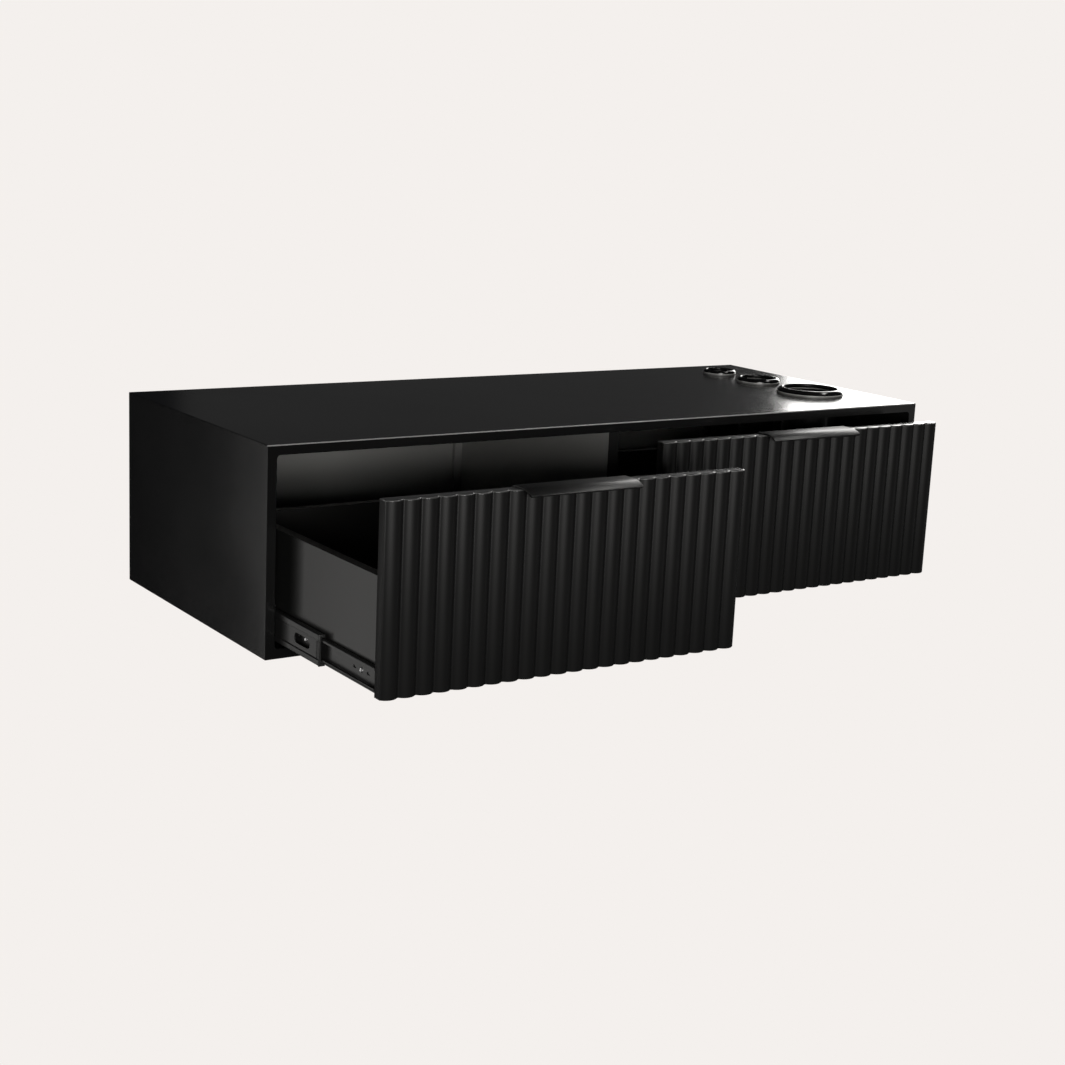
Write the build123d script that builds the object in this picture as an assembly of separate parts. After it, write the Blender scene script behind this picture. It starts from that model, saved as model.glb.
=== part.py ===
from build123d import *
from math import atan, cos, sin, sqrt
import os

# A wall-hung, two-drawer station cabinet with three tool wells let into the right end of its top.
# +X runs to the right as seen from the front, +Y towards the wall, +Z up, all in millimetres.
# The origin is on the wall, at the middle of the hanging rail's line of screw holes.

# Carcass
cabinet_width = 1000.0
cabinet_depth = 405.0
cabinet_height = 248.0
panel_thickness = 12.0
opening_corner_radius = 4.5
outer_edge_radius = 1.0
front_edge_radius = 0.8
spline_thickness = 3.0
spline_width = 8.0
spline_end_margin = 20.0
spline_depth_share = 0.58
cut_margin = 1.0

# Back panel, centre divider and the battens that locate it
back_panel_thickness = 8.0
back_recess = 8.0
back_groove_depth = 5.0
divider_thickness = 16.0
divider_setback = 32.0
batten_width = 12.0
batten_depth = 6.0
divider_dowel_radius = 4.0
divider_dowel_in_panel = 8.0
divider_dowel_in_divider = 20.0
divider_dowel_end_margin = 60.0
divider_dowels_per_edge = 3

# Hanging rails: two interlocking Z sections behind the back panel
rail_holes_below_top = 78.0
rail_end_inset = 50.0
rail_thickness = 2.0
wall_rail_below_holes = 17.0
wall_rail_above_holes = 14.0
hook_reach = 16.3
hook_overlap = 11.3
hook_gap = 0.2
hook_stand_off = 1.5
cabinet_rail_height = 26.0
wall_hole_radius = 3.0
outer_wall_hole_inset = 50.0
inner_wall_hole_pitch = 300.0
rail_screw_count = 6
rail_screw_end_margin = 50.0

# Drawer fronts
side_reveal = 5.0
top_reveal = 5.0
bottom_reveal = 7.0
centre_gap = 19.4
flute_count = 22
flute_depth = 4.6
flute_valley_radius = 2.0
front_core_thickness = 12.0
front_top_radius = 1.2

# Drawer boxes
left_opening = 240.0
right_opening = 62.0
box_side_thickness = 12.0
box_height = 127.0
box_back_clearance = 24.4
box_bottom_thickness = 6.0
box_groove_depth = 5.0
box_groove_height = 8.0
box_rebate_depth = 4.0

# Bent-metal edge pulls
pull_length = 148.0
pull_thickness = 2.0
pull_reach = 18.0
pull_drop = 6.3
pull_back_flange = 20.0
pull_corner_radius = 1.5
pull_screw_count = 3
pull_screw_pitch = 50.0
pull_screw_below_top = 11.0
edge_length_tolerance = 0.02

# Three-member ball slides
slide_gap = 12.7
slide_front_clearance = 3.0
slide_back_clearance = 19.4
slide_above_box_bottom = 18.0
slide_sheet = 1.2
slide_bend_radius = 2.4
slide_end_clearance = 0.4
mouth_cut_margin = 0.1
cabinet_member_height = 45.0
cabinet_member_to_box = 2.5
cabinet_member_lip = 1.6
middle_member_height = 36.0
middle_member_start = 3.2
middle_member_to_box = 1.8
middle_member_lip = 0.8
middle_web_step = 1.4
middle_track_width = 6.5
drawer_member_height = 27.0
drawer_member_start = 6.2
drawer_member_lip = 2.2
middle_slot_length = 38.0
middle_slot_width = 12.0
middle_slot_start = 23.0
ball_clearance = 0.05
balls_per_strip = 6
ball_pitch = 22.0
cage_thickness = 0.8
cage_start = 95.0
cage_end_margin = 10.0
cage_width = 4.0
cage_hole_clearance = 0.15
bumper_length = 6.0
bumper_lip = 1.8
bumper_wall = 2.6
bumper_fit = 0.05
bumper_web_clearance = 0.1
bumper_way_clearance = 0.2
front_slide_screw = 37.0
middle_slide_screw = 165.0
back_slide_screw_inset = 50.0
slide_slot_offset = 15.0
slide_slot_length = 7.0
slide_slot_width = 3.4
slot_cutter_reach = 5.0

# Fasteners
slide_screw_head_radius = 3.3
slide_screw_head_height = 1.6
slide_screw_shank_radius = 1.75
slide_screw_in_wood = 7.0
joint_screw_head_radius = 4.0
joint_screw_head_height = 2.4
joint_screw_shank_radius = 2.0
front_screw_in_wood = 8.0
pull_screw_in_wood = 8.0
rail_screw_in_wood = 6.5
screw_point_length = 2.0
dome_place_share = 0.6
dome_height_share = 0.82
head_edge_share = 0.2
recess_width_share = 0.28
recess_length_share = 1.1
recess_depth_share = 0.6
screw_hole_clearance = 0.25
front_screw_side_inset = 50.0
front_screw_above_bottom = 40.0
front_screw_below_box_top = 25.0

# Tool wells, on one line from front to back: each cup's inner radius, and its ring's width and height
large_well_radius = 38.0
large_ring_width = 9.0
large_ring_height = 8.6
medium_well_radius = 25.0
medium_ring_width = 6.5
medium_ring_height = 7.8
small_well_radius = 18.75
small_ring_width = 5.55
small_ring_height = 7.2
well_line_from_right = 90.0
large_well_behind_front = 121.0
small_well_before_wall = 81.0
cup_wall = 1.2
cup_floor_radius = 4.0
cup_flange_inset = 3.0
cup_hole_clearance = 0.3
cup_clearance_over_box = 8.0
drain_radius = 3.0
ring_flange_clearance = 0.1
ring_foot_height = 3.4
ring_foot_inset = 1.0
collar_width = 4.0
collar_height = 14.0
collar_clearance = 0.1
collar_notches = 8
collar_notch_radius = 2.0

# Planes of the cabinet
right = cabinet_width / 2
left = -right
front = -cabinet_depth
top = rail_holes_below_top
underside = top - cabinet_height
inner_left = left + panel_thickness
inner_right = right - panel_thickness
inner_floor = underside + panel_thickness
inner_ceiling = top - panel_thickness
back_panel_rear = -back_recess
back_panel_face = back_panel_rear - back_panel_thickness
divider_side = divider_thickness / 2
divider_front = front + divider_setback
rail_length = cabinet_width - 2 * rail_end_inset

# Planes of the drawers
front_thickness = front_core_thickness + flute_depth
front_bottom = inner_floor + bottom_reveal
front_top = inner_ceiling - top_reveal
front_width = inner_right - side_reveal - centre_gap / 2
front_back_closed = front + front_thickness
box_length = back_panel_face - box_back_clearance - front_back_closed
box_top = front_bottom + box_height
slide_centre = front_bottom + slide_above_box_bottom
slide_front_closed = front_back_closed + slide_front_clearance
bay_width = inner_right - divider_side
bay_centre = (inner_right + divider_side) / 2
box_width = bay_width - 2 * slide_gap

# Slide members, each measured from the wall that its slide is fixed to
slide_length = back_panel_face - slide_back_clearance - slide_front_closed
moving_member_length = slide_length - slide_end_clearance
cabinet_member_depth = slide_gap - cabinet_member_to_box
middle_member_depth = slide_gap - middle_member_to_box - middle_member_start
drawer_member_depth = slide_gap - drawer_member_start
slide_screw_places = (front_slide_screw, middle_slide_screw, slide_length - back_slide_screw_inset)

# Tool wells: the end ones are set, and the middle one leaves equal gaps between the rings
wells = {
    "large": (large_well_radius, large_ring_width, large_ring_height),
    "medium": (medium_well_radius, medium_ring_width, medium_ring_height),
    "small": (small_well_radius, small_ring_width, small_ring_height),
}
ring_radius = {name: radius + width for name, (radius, width, height) in wells.items()}
large_well_y = front + large_well_behind_front
small_well_y = -small_well_before_wall
between_rings = small_well_y - ring_radius["small"] - large_well_y - ring_radius["large"]
medium_well_y = large_well_y + ring_radius["large"] + between_rings / 2
well_x = right - well_line_from_right
well_y = {"large": large_well_y, "medium": medium_well_y, "small": small_well_y}
cup_bottom = box_top + cup_clearance_over_box


def block(low, high):
    """A box between two opposite corners."""
    size = [b - a for a, b in zip(low, high)]
    middle = [(a + b) / 2 for a, b in zip(low, high)]
    return Pos(*middle) * Box(*size)


def rod(start, direction, radius, length):
    """A round bar from a point, along a direction."""
    return Plane(origin=start, z_dir=direction) * Pos(0, 0, length / 2) * Cylinder(radius, length)


def through_hole(start, direction, radius, thickness):
    """A cutter for a round hole right through a thickness, from the face at start."""
    outside = [a - cut_margin * b for a, b in zip(start, direction)]
    return rod(outside, direction, radius, thickness + 2 * cut_margin)


def screw(start, direction, head_radius, head_height, shank_radius, length):
    """A domed, cross-recessed screw: its head's seat is at start and its shank runs along direction."""
    point = min(screw_point_length, length / 2)
    edge_height = head_edge_share * head_height
    dome_middle = (dome_place_share * head_radius, dome_height_share * head_height)
    dome = ThreePointArc((0, head_height), dome_middle, (head_radius, edge_height))
    rim = Polyline(
        (head_radius, edge_height),
        (head_radius, 0),
        (shank_radius, 0),
        (shank_radius, point - length),
        (0, -length),
        (0, head_height),
    )
    body = revolve(Plane.XZ * make_face([dome, rim]), Axis.Z)
    slot_depth = recess_depth_share * head_height
    slot = Box(recess_length_share * head_radius, recess_width_share * head_radius, slot_depth)
    cross = Pos(0, 0, head_height - slot_depth / 2) * (slot + Rot(0, 0, 90) * slot)
    away = [-component for component in direction]
    return Plane(origin=start, z_dir=away) * (body - cross)


def spread(count, pitch):
    """Evenly pitched places about zero."""
    return [(i - (count - 1) / 2) * pitch for i in range(count)]


def save(name, *pieces):
    """Write one node: a single solid, or a group of separate ones."""
    shape = pieces[0] if len(pieces) == 1 else Compound(children=list(pieces))
    export_step(shape, f"parts/{name}.step")


# ---------------------------------------------------------------- carcass


def carcass_ring():
    """The four panels as one band, with its rounded opening and eased front edges."""
    middle = (underside + top) / 2
    outline = RectangleRounded(cabinet_width, cabinet_height, outer_edge_radius)
    opening_height = inner_ceiling - inner_floor
    opening = RectangleRounded(inner_right - inner_left, opening_height, opening_corner_radius)
    section = Plane((0, 0, middle), x_dir=(1, 0, 0), z_dir=(0, -1, 0)) * (outline - opening)
    ring = extrude(section, cabinet_depth)
    return fillet(ring.edges().group_by(Axis.Y)[0], front_edge_radius)


def mitre_wedge(side):
    """The space that belongs to one panel, bounded by the two mitres at its ends."""
    reach = panel_thickness + opening_corner_radius
    corners = {
        "top": ((left, top), (right, top), (right - reach, top - reach), (left + reach, top - reach)),
        "bottom": (
            (left, underside),
            (right, underside),
            (right - reach, underside + reach),
            (left + reach, underside + reach),
        ),
        "left": (
            (left, underside),
            (left, top),
            (left + reach, top - reach),
            (left + reach, underside + reach),
        ),
        "right": (
            (right, underside),
            (right, top),
            (right - reach, top - reach),
            (right - reach, underside + reach),
        ),
    }
    face = make_face(Polyline(*corners[side], close=True))
    return extrude(Plane((0, 0, 0), x_dir=(1, 0, 0), z_dir=(0, -1, 0)) * face, cabinet_depth)


def mitre_splines():
    """Four tongues glued across the mitres, near the inside of each corner."""
    start = front + spline_end_margin
    end = back_panel_face - spline_end_margin
    inset = spline_depth_share * panel_thickness
    splines = []
    for x_side, z_side in ((-1, -1), (1, -1), (1, 1), (-1, 1)):
        x = x_side * (right - inset)
        z = (underside + inset) if z_side < 0 else (top - inset)
        tilt = 45 * x_side * z_side
        strip = Box(spline_width, end - start, spline_thickness)
        splines.append(Pos(x, (start + end) / 2, z) * Rot(0, tilt, 0) * strip)
    return splines


def back_panel():
    """The back, let into grooves in all four panels."""
    low = (inner_left - back_groove_depth, back_panel_face, inner_floor - back_groove_depth)
    high = (inner_right + back_groove_depth, back_panel_rear, inner_ceiling + back_groove_depth)
    return block(low, high)


def divider_dowels():
    """Dowels that hold the divider between the bottom and the top panel."""
    start = divider_front + divider_dowel_end_margin
    end = back_panel_face - divider_dowel_end_margin
    step = (end - start) / (divider_dowels_per_edge - 1)
    length = divider_dowel_in_panel + divider_dowel_in_divider
    low = inner_floor - divider_dowel_in_panel
    high = inner_ceiling + divider_dowel_in_panel
    dowels = []
    for i in range(divider_dowels_per_edge):
        y = start + i * step
        dowels.append(rod((0, y, low), (0, 0, 1), divider_dowel_radius, length))
        dowels.append(rod((0, y, high), (0, 0, -1), divider_dowel_radius, length))
    return dowels


def divider_battens():
    """Upright battens on the back panel, one each side of the divider's rear edge."""
    low_y = back_panel_face - batten_depth
    battens = []
    for side in (-1, 1):
        x = sorted((side * divider_side, side * (divider_side + batten_width)))
        battens.append(block((x[0], low_y, inner_floor), (x[1], back_panel_face, inner_ceiling)))
    return battens


# ---------------------------------------------------------------- hanging rails


def rail_section(points):
    """A rail's section, drawn in Y and Z, drawn out to the rail's length."""
    face = Plane.YZ * make_face(Polyline(*points, close=True))
    return Pos(-rail_length / 2, 0, 0) * extrude(face, rail_length, dir=(1, 0, 0))


def wall_rail():
    """The rail screwed to the wall, with an upward hook standing off it."""
    hook_back = -(hook_stand_off + rail_thickness + hook_gap)
    hook_front = hook_back - rail_thickness
    shelf = wall_rail_above_holes - rail_thickness
    hook_top = shelf + hook_reach
    rail = rail_section(
        (
            (0, -wall_rail_below_holes),
            (0, wall_rail_above_holes),
            (hook_back, wall_rail_above_holes),
            (hook_back, hook_top),
            (hook_front, hook_top),
            (hook_front, shelf),
            (-rail_thickness, shelf),
            (-rail_thickness, -wall_rail_below_holes),
        )
    )
    for pitch in (rail_length - 2 * outer_wall_hole_inset, inner_wall_hole_pitch):
        for x in spread(2, pitch):
            rail -= through_hole((x, -rail_thickness, 0), (0, 1, 0), wall_hole_radius, rail_thickness)
    return rail


rail_seat = wall_rail_above_holes - rail_thickness + hook_reach
rail_screw_height = rail_seat + rail_thickness + (cabinet_rail_height - rail_thickness) / 2


def rail_screw_places():
    """Places of the cabinet rail's screws along its length."""
    span = rail_length - 2 * rail_screw_end_margin
    return spread(rail_screw_count, span / (rail_screw_count - 1))


def cabinet_rail():
    """The rail on the cabinet's back panel, whose downward hook sits in the wall rail."""
    hook_back = -hook_stand_off
    hook_front = hook_back - rail_thickness
    rail = rail_section(
        (
            (back_panel_rear, rail_seat),
            (hook_front, rail_seat),
            (hook_front, rail_seat - hook_overlap),
            (hook_back, rail_seat - hook_overlap),
            (hook_back, rail_seat + rail_thickness),
            (back_panel_rear + rail_thickness, rail_seat + rail_thickness),
            (back_panel_rear + rail_thickness, rail_seat + cabinet_rail_height),
            (back_panel_rear, rail_seat + cabinet_rail_height),
        )
    )
    bore = joint_screw_shank_radius + screw_hole_clearance
    for x in rail_screw_places():
        rail -= through_hole((x, back_panel_rear, rail_screw_height), (0, 1, 0), bore, rail_thickness)
    return rail


def rail_screws():
    """Screws through the cabinet rail into the back panel."""
    seat = back_panel_rear + rail_thickness
    length = rail_thickness + rail_screw_in_wood
    return [
        screw(
            (x, seat, rail_screw_height),
            (0, -1, 0),
            joint_screw_head_radius,
            joint_screw_head_height,
            joint_screw_shank_radius,
            length,
        )
        for x in rail_screw_places()
    ]


# ---------------------------------------------------------------- drawer slides


def channel(depth, height, lip):
    """A bent channel section: web on the Y axis, open towards +X, lips turned in at its mouth."""
    outer = Pos(depth / 2, 0) * RectangleRounded(depth, height, slide_bend_radius)
    inner_size = (depth - 2 * slide_sheet, height - 2 * slide_sheet)
    inner = Pos(depth / 2, 0) * RectangleRounded(*inner_size, slide_bend_radius - slide_sheet)
    mouth_height = height - 2 * (slide_sheet + lip)
    mouth = Pos(depth, 0) * Rectangle(2 * (slide_sheet + mouth_cut_margin), mouth_height)
    return outer - inner - mouth


def along_slide(section, length):
    """Draw a section out along the slide, from its front end backwards, with X across and Z up."""
    return extrude(Plane.XZ * section, -length)


def slot_cutter(x, y, length, width):
    """A round-ended slot through a web, long along the slide."""
    face = Plane.YZ * SlotOverall(length, width)
    return Pos(x - slot_cutter_reach, y, 0) * extrude(face, 2 * slot_cutter_reach, dir=(1, 0, 0))


def cabinet_member():
    """The fixed member: open towards the drawer, its web flat on the bay's side."""
    section = channel(cabinet_member_depth, cabinet_member_height, cabinet_member_lip)
    member = along_slide(section, slide_length)
    bore = slide_screw_shank_radius + screw_hole_clearance
    for place in slide_screw_places:
        member -= through_hole((0, place, 0), (1, 0, 0), bore, slide_sheet)
        for offset in (-slide_slot_offset, slide_slot_offset):
            member -= slot_cutter(slide_sheet / 2, place + offset, slide_slot_length, slide_slot_width)
    return member


def middle_member():
    """The intermediate member: two raised ball tracks either side of a sunk web."""
    section = channel(middle_member_depth, middle_member_height, middle_member_lip)
    sunk_height = middle_member_height - 2 * middle_track_width
    sunk = Pos(middle_web_step / 2, 0) * Rectangle(middle_web_step, sunk_height)
    pad_height = sunk_height + 2 * slide_sheet
    pad = Pos(slide_sheet + middle_web_step / 2, 0) * Rectangle(middle_web_step, pad_height)
    section = Pos(middle_member_start, 0) * (section + pad - sunk)
    member = along_slide(section, moving_member_length)
    web = middle_member_start + middle_web_step
    slot_centre = middle_slot_start + middle_slot_length / 2
    for y in (slot_centre, slide_length - slot_centre):
        member -= slot_cutter(web, y, middle_slot_length, middle_slot_width)
    return member


def drawer_member():
    """The member screwed to the drawer box, open towards the cabinet."""
    section = mirror(channel(drawer_member_depth, drawer_member_height, drawer_member_lip), Plane.YZ)
    member = along_slide(Pos(slide_gap, 0) * section, moving_member_length)
    bore = slide_screw_shank_radius + screw_hole_clearance
    for place in slide_screw_places:
        member -= through_hole((slide_gap - slide_sheet, place, 0), (1, 0, 0), bore, slide_sheet)
        for offset in (-slide_slot_offset, slide_slot_offset):
            x = slide_gap - slide_sheet / 2
            member -= slot_cutter(x, place + offset, slide_slot_length, slide_slot_width)
    return member


def bumper():
    """The moulded stop that closes the front end of the intermediate member around its mouth."""
    inside_width = middle_member_depth - 2 * (slide_sheet + bumper_fit)
    inside_height = middle_member_height - 2 * (slide_sheet + bumper_fit)
    x = middle_member_start + middle_member_depth / 2
    plug = Pos(x, 0) * RectangleRounded(inside_width, inside_height, slide_bend_radius - slide_sheet)
    lip = Pos(x, 0) * RectangleRounded(middle_member_depth, middle_member_height, slide_bend_radius)
    way_height = middle_member_height - 2 * slide_sheet - 2 * bumper_wall
    way_start = middle_member_start + middle_web_step + slide_sheet + bumper_way_clearance
    way = Pos(way_start + slide_gap / 2, 0) * Rectangle(slide_gap, way_height)
    step_depth = middle_web_step + slide_sheet + bumper_web_clearance
    step_height = way_height + 2 * slide_sheet
    step = Pos(middle_member_start, 0) * Rectangle(2 * step_depth, step_height)
    inner = extrude(Plane.XZ * (plug - way - step), -bumper_length)
    outer = extrude(Plane.XZ * (lip - way), bumper_lip)
    return inner + outer


def ball_strips(inner_face, outer_face, x):
    """A pair of ball strips, above and below, with balls that run between two track faces."""
    radius = (outer_face - inner_face) / 2 - ball_clearance
    height = (outer_face + inner_face) / 2
    length = (balls_per_strip - 1) * ball_pitch + 2 * cage_end_margin
    solids = []
    for side in (-1, 1):
        z = side * height
        strip = block(
            (x - cage_width / 2, 0, z - cage_thickness / 2),
            (x + cage_width / 2, length, z + cage_thickness / 2),
        )
        places = [length / 2 + offset for offset in spread(balls_per_strip, ball_pitch)]
        for y in places:
            bore = radius + cage_hole_clearance
            strip -= rod((x, y, z - cage_thickness), (0, 0, 1), bore, 2 * cage_thickness)
        solids.append(strip)
        solids += [Pos(x, y, z) * Sphere(radius) for y in places]
    return solids


def outer_ball_strips():
    """Balls between the cabinet member and the intermediate member."""
    track = cabinet_member_height / 2 - slide_sheet
    x = (middle_member_start + cabinet_member_depth - slide_sheet) / 2
    return ball_strips(middle_member_height / 2, track, x)


def inner_ball_strips():
    """Balls between the intermediate member and the drawer member."""
    track = middle_member_height / 2 - slide_sheet
    tip = slide_gap - drawer_member_depth
    mouth = middle_member_start + middle_member_depth - slide_sheet
    return ball_strips(drawer_member_height / 2, track, (tip + mouth) / 2)


def slide_places(bay):
    """The two side walls that a bay's slides are fixed to, with the way each faces."""
    wall = {"left": (inner_left, -divider_side), "right": (divider_side, inner_right)}
    return ((wall[bay][0], 1), (wall[bay][1], -1))


def put_on_wall(shape, wall, facing, y):
    """Place a slide piece, drawn for a left wall, on a wall at a depth."""
    turned = shape if facing > 0 else mirror(shape, Plane.YZ)
    return Pos(wall, y, slide_centre) * turned


def slide_screw(wall, facing, y):
    """A slide screw driven into a wall from the slide's side."""
    seat = wall + facing * slide_sheet
    return screw(
        (seat, y, slide_centre),
        (-facing, 0, 0),
        slide_screw_head_radius,
        slide_screw_head_height,
        slide_screw_shank_radius,
        slide_sheet + slide_screw_in_wood,
    )


def cabinet_slide_screws():
    """Screws that hold all four cabinet members."""
    screws = []
    for bay in ("left", "right"):
        for wall, facing in slide_places(bay):
            screws += [slide_screw(wall, facing, slide_front_closed + place) for place in slide_screw_places]
    return screws


def cabinet_slide_screw_holes():
    """Pilot holes for those screws."""
    holes = []
    for bay in ("left", "right"):
        for wall, facing in slide_places(bay):
            for place in slide_screw_places:
                start = (wall, slide_front_closed + place, slide_centre)
                holes.append(rod(start, (-facing, 0, 0), slide_screw_shank_radius, slide_screw_in_wood))
    return holes


# ---------------------------------------------------------------- drawers


def flute_outline(width):
    """The fluted front in plan: round ribs that run smoothly into small round valleys."""
    pitch = width / flute_count
    half = pitch / 2
    slope = 2 * atan(flute_depth / half)
    crest_radius = half / sin(slope) - flute_valley_radius
    run = flute_valley_radius * sin(slope)
    rise = flute_valley_radius * (1 - cos(slope))
    valley = -front_core_thickness
    crest = valley - flute_depth
    middle_run = flute_valley_radius * sin(slope / 2)
    middle_rise = flute_valley_radius * (1 - cos(slope / 2))
    edges = []
    for i in range(flute_count):
        start = -width / 2 + i * pitch
        end = start + pitch
        if i == 0:
            edges.append(
                ThreePointArc(
                    (start, valley),
                    (start + middle_run, valley - middle_rise),
                    (start + run, valley - rise),
                )
            )
        else:
            edges.append(
                ThreePointArc((start - run, valley - rise), (start, valley), (start + run, valley - rise))
            )
        edges.append(
            ThreePointArc((start + run, valley - rise), (start + half, crest), (end - run, valley - rise))
        )
    edges.append(
        ThreePointArc(
            (width / 2 - run, valley - rise),
            (width / 2 - middle_run, valley - middle_rise),
            (width / 2, valley),
        )
    )
    edges.append(Polyline((width / 2, valley), (width / 2, 0), (-width / 2, 0), (-width / 2, valley)))
    return make_face(edges), crest_radius


def fluted_front(centre, back, holes):
    """A drawer front, with its back face at a given depth."""
    outline, crest_radius = flute_outline(front_width)
    blank = extrude(outline, front_top - front_bottom)
    rim = [edge for edge in blank.edges().group_by(Axis.Z)[-1] if edge.geom_type == GeomType.CIRCLE]
    front_panel = Pos(centre, back, front_bottom) * fillet(rim, min(front_top_radius, crest_radius / 2))
    for hole in holes:
        front_panel -= hole
    return front_panel


def pull_section():
    """The pull's side view, Y across and Z up, from the front's back top edge at the origin."""
    turn = 2 * atan(pull_drop / pull_reach)
    radius = pull_reach / sin(turn)
    thickness = pull_thickness
    inner_radius = radius - thickness
    y_bend = -front_thickness
    centre = (y_bend, thickness - radius)
    half = turn / 2
    outer_mid = (centre[0] - radius * sin(half), centre[1] + radius * cos(half))
    outer_end = (centre[0] - radius * sin(turn), centre[1] + radius * cos(turn))
    inner_mid = (centre[0] - inner_radius * sin(half), centre[1] + inner_radius * cos(half))
    inner_end = (centre[0] - inner_radius * sin(turn), centre[1] + inner_radius * cos(turn))
    lines = [
        Polyline((0, 0), (0, -pull_back_flange), (thickness, -pull_back_flange), (thickness, thickness)),
        Line((thickness, thickness), (y_bend, thickness)),
        ThreePointArc((y_bend, thickness), outer_mid, outer_end),
        Line(outer_end, inner_end),
        ThreePointArc(inner_end, inner_mid, (y_bend, 0)),
        Line((y_bend, 0), (0, 0)),
    ]
    return make_face(lines)


def pull_screw_starts(centre, back):
    """Where the pull's screws sit, on the outside of its back flange."""
    z = front_top - pull_screw_below_top
    return [(centre + x, back + pull_thickness, z) for x in spread(pull_screw_count, pull_screw_pitch)]


def edge_pull(centre, back):
    """The pull over the top edge of a drawer front."""
    face = Plane.YZ * pull_section()
    blank = Pos(-pull_length / 2, 0, 0) * extrude(face, pull_length, dir=(1, 0, 0))
    corners = [
        edge
        for edge in blank.edges().filter_by(lambda e: e.length < pull_thickness + edge_length_tolerance)
        if edge.center().Y < -front_thickness or edge.center().Z < -pull_back_flange / 2
    ]
    pull = Pos(centre, back, front_top) * fillet(corners, pull_corner_radius)
    bore = joint_screw_shank_radius + screw_hole_clearance
    for x, y, z in pull_screw_starts(centre, back):
        pull -= through_hole((x, y, z), (0, -1, 0), bore, pull_thickness)
    return pull


def front_screw_places(centre):
    """Places of the screws that hold the front to the box, across and up."""
    reach = box_width / 2 - front_screw_side_inset
    inner = reach / 3
    heights = (front_bottom + front_screw_above_bottom, box_top - front_screw_below_box_top)
    return [(centre + x, z) for x in (-reach, -inner, inner, reach) for z in heights]


def build_drawer(bay, sign, opening):
    """One drawer: its front, pull, box, moving slide members and screws."""
    shift = -opening
    bay_x = sign * bay_centre
    front_x = sign * (centre_gap / 2 + front_width / 2)
    back = front_back_closed + shift
    box_left = bay_x - box_width / 2
    box_right = bay_x + box_width / 2
    box_back = back + box_length
    inside_left = box_left + box_side_thickness
    inside_right = box_right - box_side_thickness
    groove = front_bottom + box_groove_height
    slide_y = slide_front_closed + shift
    slide_shank = slide_screw_shank_radius

    bottom = block(
        (inside_left - box_groove_depth, back + box_side_thickness - box_groove_depth, groove),
        (
            inside_right + box_groove_depth,
            box_back - box_side_thickness + box_groove_depth,
            groove + box_bottom_thickness,
        ),
    )
    front_wall = block(
        (inside_left - box_rebate_depth, back, front_bottom),
        (inside_right + box_rebate_depth, back + box_side_thickness, box_top),
    )
    rear_wall = block(
        (inside_left - box_rebate_depth, box_back - box_side_thickness, front_bottom),
        (inside_right + box_rebate_depth, box_back, box_top),
    )
    sides = {
        "left": block((box_left, back, front_bottom), (inside_left, box_back, box_top)),
        "right": block((inside_right, back, front_bottom), (box_right, box_back, box_top)),
    }
    for name, side in sides.items():
        wall, facing = (box_left, -1) if name == "left" else (box_right, 1)
        side = side - bottom - front_wall - rear_wall
        for place in slide_screw_places:
            start = (wall, slide_y + place, slide_centre)
            side -= rod(start, (-facing, 0, 0), slide_shank, slide_screw_in_wood)
        save(f"{bay}_drawer_{name}_side", side)
    rear_wall -= bottom

    front_seats = [(x, back + box_side_thickness, z) for x, z in front_screw_places(bay_x)]
    length = box_side_thickness + front_screw_in_wood
    front_holes = [rod(seat, (0, -1, 0), joint_screw_shank_radius, length) for seat in front_seats]
    front_wall -= bottom
    for hole in front_holes:
        front_wall -= hole
    pull_starts = pull_screw_starts(front_x, back)
    pull_holes = [
        rod((x, back, z), (0, -1, 0), joint_screw_shank_radius, pull_screw_in_wood) for x, y, z in pull_starts
    ]
    joint_screw = (joint_screw_head_radius, joint_screw_head_height, joint_screw_shank_radius)
    pull_screw_length = pull_thickness + pull_screw_in_wood
    save(f"{bay}_drawer_bottom", bottom)
    save(f"{bay}_drawer_sub_front", front_wall)
    save(f"{bay}_drawer_back", rear_wall)
    save(f"{bay}_fluted_front", fluted_front(front_x, back, front_holes + pull_holes))
    save(f"{bay}_front_screws", *[screw(seat, (0, -1, 0), *joint_screw, length) for seat in front_seats])
    save(f"{bay}_edge_pull", edge_pull(front_x, back))
    save(
        f"{bay}_pull_screws",
        *[screw(start, (0, -1, 0), *joint_screw, pull_screw_length) for start in pull_starts],
    )

    screws = []
    bumpers = []
    outer_strips = []
    inner_strips = []
    middle_y = slide_front_closed + shift / 2
    for name, (wall, facing) in zip(("left", "right"), slide_places(bay)):
        fixed = cabinet_member()
        middle = middle_member()
        save(f"{bay}_bay_{name}_cabinet_member", put_on_wall(fixed, wall, facing, slide_front_closed))
        save(f"{bay}_bay_{name}_middle_member", put_on_wall(middle, wall, facing, middle_y))
        save(f"{bay}_bay_{name}_drawer_member", put_on_wall(drawer_member(), wall, facing, slide_y))
        bumpers.append(put_on_wall(bumper(), wall, facing, middle_y))
        outer_y = slide_front_closed + cage_start + shift / 4
        inner_y = slide_front_closed + cage_start + 3 * shift / 4
        outer_strips += [put_on_wall(solid, wall, facing, outer_y) for solid in outer_ball_strips()]
        inner_strips += [put_on_wall(solid, wall, facing, inner_y) for solid in inner_ball_strips()]
        box_wall = wall + facing * slide_gap
        screws += [slide_screw(box_wall, -facing, slide_y + place) for place in slide_screw_places]
    save(f"{bay}_drawer_slide_screws", *screws)
    save(f"{bay}_slide_bumpers", *bumpers)
    save(f"{bay}_outer_ball_strips", *outer_strips)
    save(f"{bay}_inner_ball_strips", *inner_strips)


# ---------------------------------------------------------------- tool wells


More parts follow.
